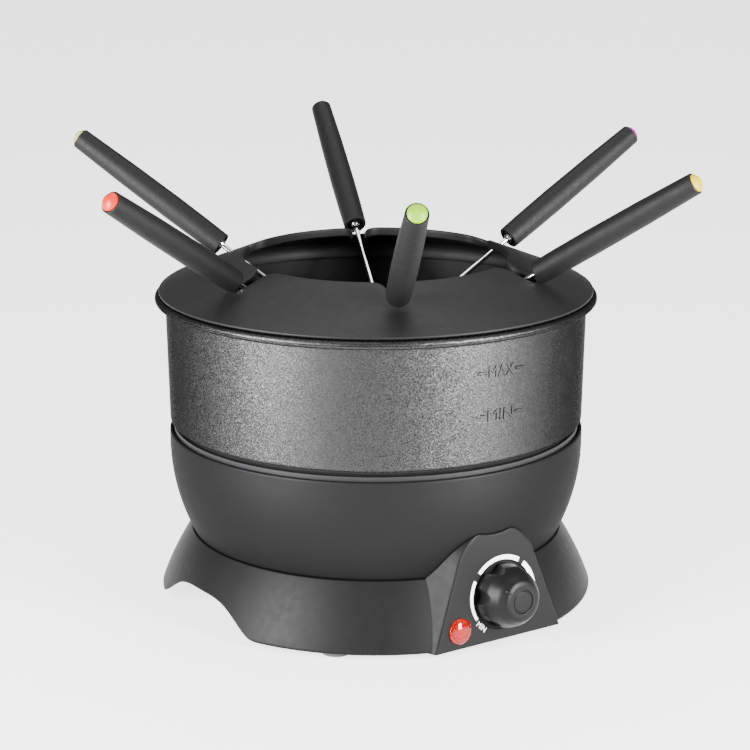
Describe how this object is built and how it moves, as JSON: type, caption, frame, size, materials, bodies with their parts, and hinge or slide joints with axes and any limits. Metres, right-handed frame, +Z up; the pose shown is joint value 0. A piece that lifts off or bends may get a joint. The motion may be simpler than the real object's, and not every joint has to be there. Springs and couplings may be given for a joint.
{
  "type": "fondue pot set",
  "caption": "Electric fondue set: heater base with knob and lamp, lift-out pot, raised fork ring and colour-coded forks.",
  "frame": {"origin": "on the table surface, on the axis of the pot and heater bowl", "axes": "+Z up along the pot axis; -Y towards the front viewer; the control panel looks out at plan azimuth -56 degrees, between +X and -Y"},
  "size_m": [0.2848, 0.3004, 0.2115],
  "materials": {
    "base_plastic": "fine satin moulding",
    "cover_plastic": "matte moulding",
    "screw_steel": "zinc plated",
    "gland_rubber": "matte",
    "bowl_paint": "satin dark grey enamel",
    "liner_black": "matte black",
    "plate_cast": "as cast, turned face",
    "element_steel": "oxidised sheath",
    "terminal_ceramic": "unglazed white",
    "bracket_steel": "pressed sheet",
    "fuse_body": "axial fuse",
    "thermostat_case": "steatite case",
    "shaft_brass": "turned",
    "knob_plastic": "satin moulding",
    "lens_red": "transparent red with an inner grid",
    "neon_glass": "neon tube",
    "holder_plastic": "heat-resistant moulding",
    "pot_coating": "dark metallic sparkle outside, black non-stick inside",
    "ring_plastic": "semi-gloss black",
    "foot_rubber": "matte",
    "handle_plastic": "satin black with a mould seam",
    "rod_steel": "polished stainless steel",
    "cap_cream": "coloured cap",
    "cap_orange": "coloured cap",
    "cap_blue": "coloured cap",
    "cap_lime": "coloured cap",
    "cap_magenta": "coloured cap",
    "cap_yellow": "coloured cap"
  },
  "bodies": {
    "base": {"base_skirt": "base_plastic", "base_cover": "cover_plastic", "cover_screws": "screw_steel", "cord_gland": "gland_rubber", "heater_bowl": "bowl_paint", "bowl_screws": "screw_steel", "bowl_liner": "liner_black", "heating_plate": "plate_cast", "heating_element": "element_steel", "plate_standoffs": "screw_steel", "terminal_block": "terminal_ceramic", "fuse_clip": "bracket_steel", "thermal_fuse": "fuse_body", "thermostat_body": "thermostat_case", "thermostat_bracket": "bracket_steel", "lamp_lens": "lens_red", "neon_lamp": "neon_glass", "lamp_holder": "holder_plastic", "rubber_foot_1": "foot_rubber", "rubber_foot_2": "foot_rubber", "rubber_foot_3": "foot_rubber", "rubber_foot_4": "foot_rubber"},
    "knob": {"control_knob": "knob_plastic", "knob_disc": "knob_plastic", "thermostat_shaft": "shaft_brass"},
    "pot": {"pot": "pot_coating"},
    "ring": {"fork_ring": "ring_plastic"},
    "fork_cream": {"fork_handle_cream": "handle_plastic", "fork_rod_cream": "rod_steel", "fork_cap_cream": "cap_cream"},
    "fork_orange": {"fork_handle_orange": "handle_plastic", "fork_rod_orange": "rod_steel", "fork_cap_orange": "cap_orange"},
    "fork_blue": {"fork_handle_blue": "handle_plastic", "fork_rod_blue": "rod_steel", "fork_cap_blue": "cap_blue"},
    "fork_lime": {"fork_handle_lime": "handle_plastic", "fork_rod_lime": "rod_steel", "fork_cap_lime": "cap_lime"},
    "fork_magenta": {"fork_handle_magenta": "handle_plastic", "fork_rod_magenta": "rod_steel", "fork_cap_magenta": "cap_magenta"},
    "fork_yellow": {"fork_handle_yellow": "handle_plastic", "fork_rod_yellow": "rod_steel", "fork_cap_yellow": "cap_yellow"}
  },
  "joints": [
    {"name": "knob_turn", "type": "hinge", "parent": "base", "child": "knob", "pos_m": [0.05603, -0.07806, 0.02273], "axis": [0.5575, -0.8266, 0.0767], "range_deg": [-188, 84]},
    {"name": "pot_lift", "type": "slide", "parent": "base", "child": "pot", "axis": [0, 0, 1], "range_m": [0, 0.12]},
    {"name": "ring_lift", "type": "slide", "parent": "pot", "child": "ring", "axis": [0, 0, 1], "range_m": [0, 0.12]},
    {"name": "fork_cream_draw", "type": "slide", "parent": "ring", "child": "fork_cream", "axis": [-0.7965, 0.2209, 0.5628], "range_m": [0, 0.17]},
    {"name": "fork_orange_draw", "type": "slide", "parent": "ring", "child": "fork_orange", "axis": [-0.5493, -0.6431, 0.5336], "range_m": [0, 0.17]},
    {"name": "fork_blue_draw", "type": "slide", "parent": "ring", "child": "fork_blue", "axis": [-0.2127, 0.7936, 0.57], "range_m": [0, 0.17]},
    {"name": "fork_lime_draw", "type": "slide", "parent": "ring", "child": "fork_lime", "axis": [0.0785, -0.8154, 0.5736], "range_m": [0, 0.17]},
    {"name": "fork_magenta_draw", "type": "slide", "parent": "ring", "child": "fork_magenta", "axis": [0.725, 0.453, 0.5188], "range_m": [0, 0.17]},
    {"name": "fork_yellow_draw", "type": "slide", "parent": "ring", "child": "fork_yellow", "axis": [0.7559, -0.3687, 0.541], "range_m": [0, 0.17]}
  ]
}
